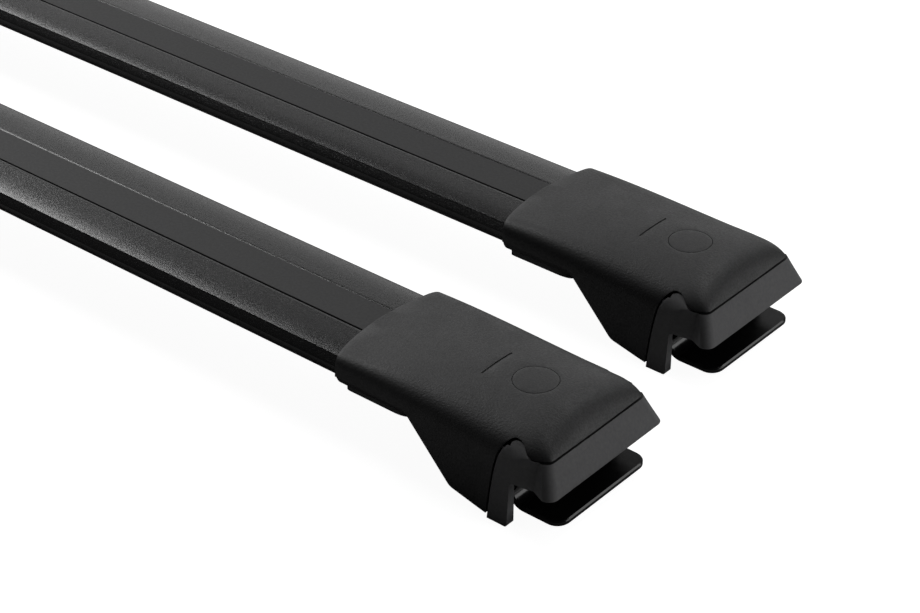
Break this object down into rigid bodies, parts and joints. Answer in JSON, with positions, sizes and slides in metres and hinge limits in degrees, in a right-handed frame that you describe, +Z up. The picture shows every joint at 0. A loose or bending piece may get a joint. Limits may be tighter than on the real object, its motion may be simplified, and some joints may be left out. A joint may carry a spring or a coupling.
{
  "type": "pair of roof crossbars",
  "caption": "Pair of low black wing-section crossbars for a car roof, with plastic feet that clamp on raised roof rails through a rubber pad and a bolted steel jaw.",
  "frame": {"origin": "middle of the pair, on the plane of the leg tips", "axes": "+X along the bars, +Y across from the front bar to the rear bar, +Z up"},
  "size_m": [1.0456, 0.2512, 0.0553],
  "materials": {
    "bar_coat": "fine textured black powder coat on extruded aluminium",
    "strip_rubber": "smooth matt dark rubber",
    "housing_plastic": "grained black moulded plastic",
    "cap_plastic": "grained black moulded plastic",
    "clamp_plastic": "grained dark moulded plastic",
    "pad_rubber": "smooth matt dark grey rubber",
    "jaw_coat": "gloss black coated steel plate",
    "bracket_casting": "plain die-cast aluminium",
    "zinc_steel": "zinc plated steel"
  },
  "bodies": {
    "bars": {"front_bar": "bar_coat", "front_strip": "strip_rubber", "rear_bar": "bar_coat", "rear_strip": "strip_rubber"},
    "front_right_foot": {"front_right_housing": "housing_plastic", "front_right_key_cap": "cap_plastic", "front_right_rail_pad": "pad_rubber", "front_right_bracket": "bracket_casting", "front_right_bracket_screws": "zinc_steel", "front_right_bolt_washer": "zinc_steel", "front_right_bar_clamp": "clamp_plastic", "front_right_bar_bolts": "zinc_steel", "front_right_slot_nut": "zinc_steel"},
    "front_right_jaw": {"front_right_jaw": "jaw_coat", "front_right_jaw_nut": "zinc_steel"},
    "front_right_bolt": {"front_right_jaw_bolt": "zinc_steel"},
    "front_left_foot": {"front_left_housing": "housing_plastic", "front_left_key_cap": "cap_plastic", "front_left_rail_pad": "pad_rubber", "front_left_bracket": "bracket_casting", "front_left_bracket_screws": "zinc_steel", "front_left_bolt_washer": "zinc_steel", "front_left_bar_clamp": "clamp_plastic", "front_left_bar_bolts": "zinc_steel", "front_left_slot_nut": "zinc_steel"},
    "front_left_jaw": {"front_left_jaw": "jaw_coat", "front_left_jaw_nut": "zinc_steel"},
    "front_left_bolt": {"front_left_jaw_bolt": "zinc_steel"},
    "rear_right_foot": {"rear_right_housing": "housing_plastic", "rear_right_key_cap": "cap_plastic", "rear_right_rail_pad": "pad_rubber", "rear_right_bracket": "bracket_casting", "rear_right_bracket_screws": "zinc_steel", "rear_right_bolt_washer": "zinc_steel", "rear_right_bar_clamp": "clamp_plastic", "rear_right_bar_bolts": "zinc_steel", "rear_right_slot_nut": "zinc_steel"},
    "rear_right_jaw": {"rear_right_jaw": "jaw_coat", "rear_right_jaw_nut": "zinc_steel"},
    "rear_right_bolt": {"rear_right_jaw_bolt": "zinc_steel"},
    "rear_left_foot": {"rear_left_housing": "housing_plastic", "rear_left_key_cap": "cap_plastic", "rear_left_rail_pad": "pad_rubber", "rear_left_bracket": "bracket_casting", "rear_left_bracket_screws": "zinc_steel", "rear_left_bolt_washer": "zinc_steel", "rear_left_bar_clamp": "clamp_plastic", "rear_left_bar_bolts": "zinc_steel", "rear_left_slot_nut": "zinc_steel"},
    "rear_left_jaw": {"rear_left_jaw": "jaw_coat", "rear_left_jaw_nut": "zinc_steel"},
    "rear_left_bolt": {"rear_left_jaw_bolt": "zinc_steel"}
  },
  "joints": [
    {"name": "front_right_foot_slide", "type": "slide", "parent": "bars", "child": "front_right_foot", "axis": [1, 0, 0], "range_m": [-0.01, 0.025]},
    {"name": "front_right_jaw_slide", "type": "slide", "parent": "front_right_foot", "child": "front_right_jaw", "axis": [0, 0, 1], "range_m": [0, 0.012]},
    {"name": "front_right_bolt_spin", "type": "hinge", "parent": "front_right_foot", "child": "front_right_bolt", "pos_m": [0.47615, -0.079, 0.044], "axis": [0, 0, -1], "range_deg": [-5, 3461]},
    {"name": "front_left_foot_slide", "type": "slide", "parent": "bars", "child": "front_left_foot", "axis": [-1, 0, 0], "range_m": [-0.01, 0.025]},
    {"name": "front_left_jaw_slide", "type": "slide", "parent": "front_left_foot", "child": "front_left_jaw", "axis": [0, 0, 1], "range_m": [0, 0.012]},
    {"name": "front_left_bolt_spin", "type": "hinge", "parent": "front_left_foot", "child": "front_left_bolt", "pos_m": [-0.45765, -0.079, 0.044], "axis": [0, 0, -1], "range_deg": [-5, 3461]},
    {"name": "rear_right_foot_slide", "type": "slide", "parent": "bars", "child": "rear_right_foot", "axis": [1, 0, 0], "range_m": [-0.01, 0.025]},
    {"name": "rear_right_jaw_slide", "type": "slide", "parent": "rear_right_foot", "child": "rear_right_jaw", "axis": [0, 0, 1], "range_m": [0, 0.012]},
    {"name": "rear_right_bolt_spin", "type": "hinge", "parent": "rear_right_foot", "child": "rear_right_bolt", "pos_m": [0.45765, 0.079, 0.044], "axis": [0, 0, -1], "range_deg": [-5, 3461]},
    {"name": "rear_left_foot_slide", "type": "slide", "parent": "bars", "child": "rear_left_foot", "axis": [-1, 0, 0], "range_m": [-0.01, 0.025]},
    {"name": "rear_left_jaw_slide", "type": "slide", "parent": "rear_left_foot", "child": "rear_left_jaw", "axis": [0, 0, 1], "range_m": [0, 0.012]},
    {"name": "rear_left_bolt_spin", "type": "hinge", "parent": "rear_left_foot", "child": "rear_left_bolt", "pos_m": [-0.47615, 0.079, 0.044], "axis": [0, 0, -1], "range_deg": [-5, 3461]}
  ],
  "couplings": [
    {"joint": "front_right_bolt_spin", "follows": "front_right_jaw_slide", "rad_per_m": 5026.5},
    {"joint": "front_left_bolt_spin", "follows": "front_left_jaw_slide", "rad_per_m": 5026.5},
    {"joint": "rear_right_bolt_spin", "follows": "rear_right_jaw_slide", "rad_per_m": 5026.5},
    {"joint": "rear_left_bolt_spin", "follows": "rear_left_jaw_slide", "rad_per_m": 5026.5}
  ]
}
